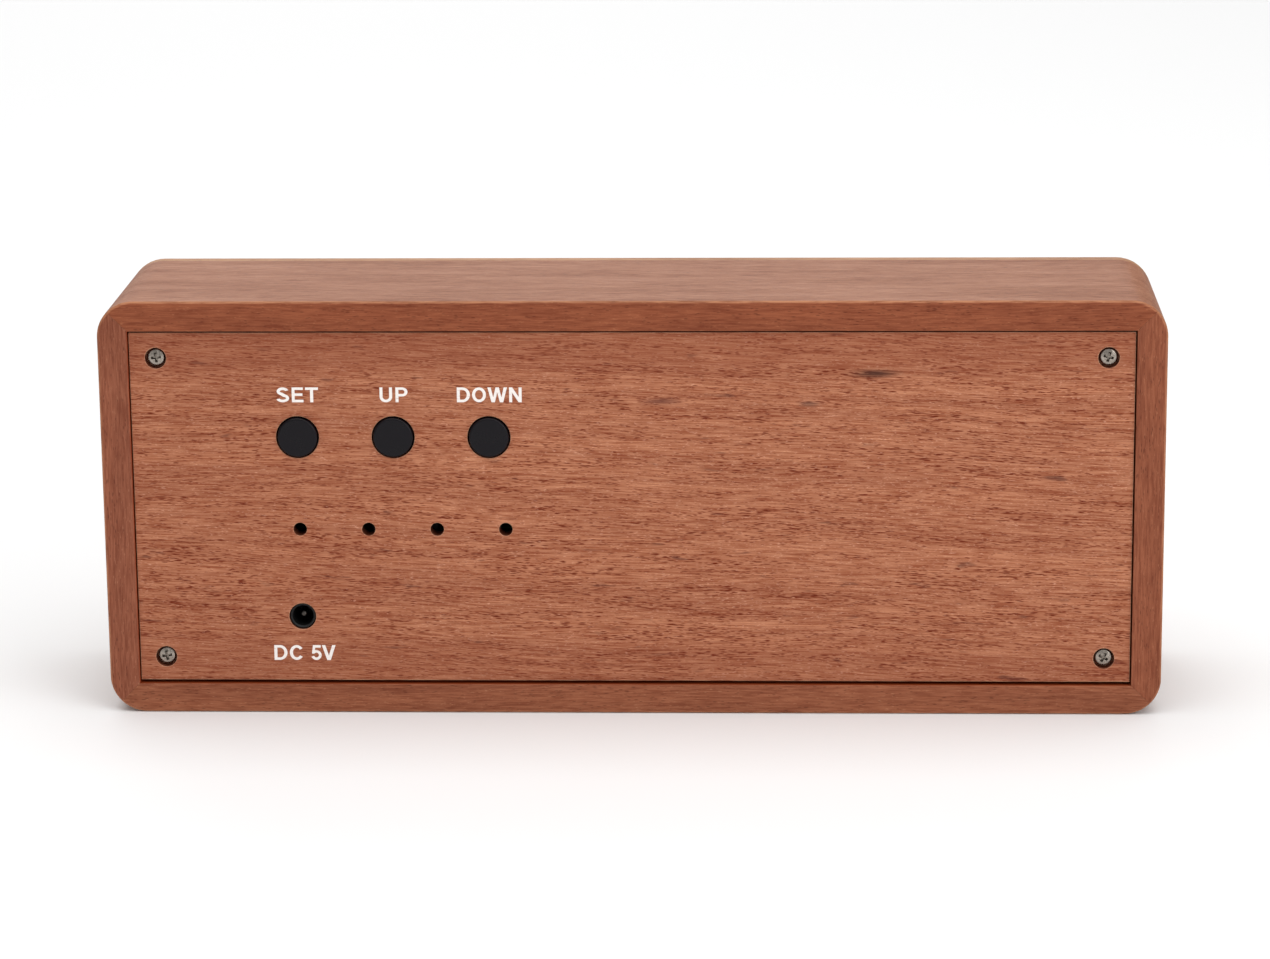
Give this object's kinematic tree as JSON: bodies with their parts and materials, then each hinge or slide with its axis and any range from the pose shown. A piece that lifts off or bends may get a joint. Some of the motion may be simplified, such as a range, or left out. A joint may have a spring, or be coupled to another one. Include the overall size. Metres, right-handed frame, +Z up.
{
  "type": "wooden alarm clock",
  "caption": "Low wooden bedside clock: mitred case with rounded corners, display hidden behind the front, and a screwed rear panel with press keys, sound holes and a power socket.",
  "frame": {"origin": "middle of the case's underside", "axes": "+X to the right seen from the front, +Y from the front to the rear panel, +Z up"},
  "size_m": [0.18, 0.04, 0.072],
  "materials": {
    "case_wood": "oiled reddish brown wood, satin",
    "panel_wood": "reddish brown veneer, matt",
    "block_wood": "sawn softwood",
    "key_plastic": "moulded black plastic, satin",
    "black_plastic": "moulded black plastic",
    "plated_steel": "nickel plated",
    "contact_brass": "rolled",
    "circuit_board": "green solder mask",
    "white_plastic": "moulded nylon",
    "display_plastic": "moulded white reflector",
    "lens_resin": "cast milky resin",
    "light_chip": "phosphor",
    "sleeve_film": "shrunk film",
    "cable_sheath": "ribbed grey sheath"
  },
  "bodies": {
    "case": {"case_top": "case_wood", "case_bottom": "case_wood", "case_left": "case_wood", "case_right": "case_wood", "front_panel": "case_wood", "rear_panel": "panel_wood", "corner_blocks": "block_wood", "panel_screws": "plated_steel", "switch_bases": "black_plastic", "switch_covers": "plated_steel", "switch_legs": "plated_steel", "key_board": "circuit_board", "key_board_posts": "white_plastic", "key_board_screws": "plated_steel", "jack_housing": "black_plastic", "jack_pin": "plated_steel", "jack_contact": "contact_brass", "buzzer": "black_plastic", "main_board": "circuit_board", "board_standoffs": "white_plastic", "board_screws": "plated_steel", "display_housing": "display_plastic", "display_lenses": "lens_resin", "light_chips": "light_chip", "clock_chip": "black_plastic", "crystal": "plated_steel", "capacitor": "sleeve_film", "cell_holder": "black_plastic", "coin_cell": "plated_steel", "cell_clip": "plated_steel", "main_header": "white_plastic", "key_header": "white_plastic", "cable_plugs": "white_plastic", "flat_cable": "cable_sheath"},
    "set_button": {"set_key": "key_plastic", "set_plunger": "black_plastic"},
    "up_button": {"up_key": "key_plastic", "up_plunger": "black_plastic"},
    "down_button": {"down_key": "key_plastic", "down_plunger": "black_plastic"}
  },
  "joints": [
    {"name": "set_press", "type": "slide", "parent": "case", "child": "set_button", "axis": [0, -1, 0], "range_m": [0, 0.0005], "stiffness_N_per_m": 1500, "springref_m": -0.0002},
    {"name": "up_press", "type": "slide", "parent": "case", "child": "up_button", "axis": [0, -1, 0], "range_m": [0, 0.0005], "stiffness_N_per_m": 1500, "springref_m": -0.0002},
    {"name": "down_press", "type": "slide", "parent": "case", "child": "down_button", "axis": [0, -1, 0], "range_m": [0, 0.0005], "stiffness_N_per_m": 1500, "springref_m": -0.0002}
  ]
}
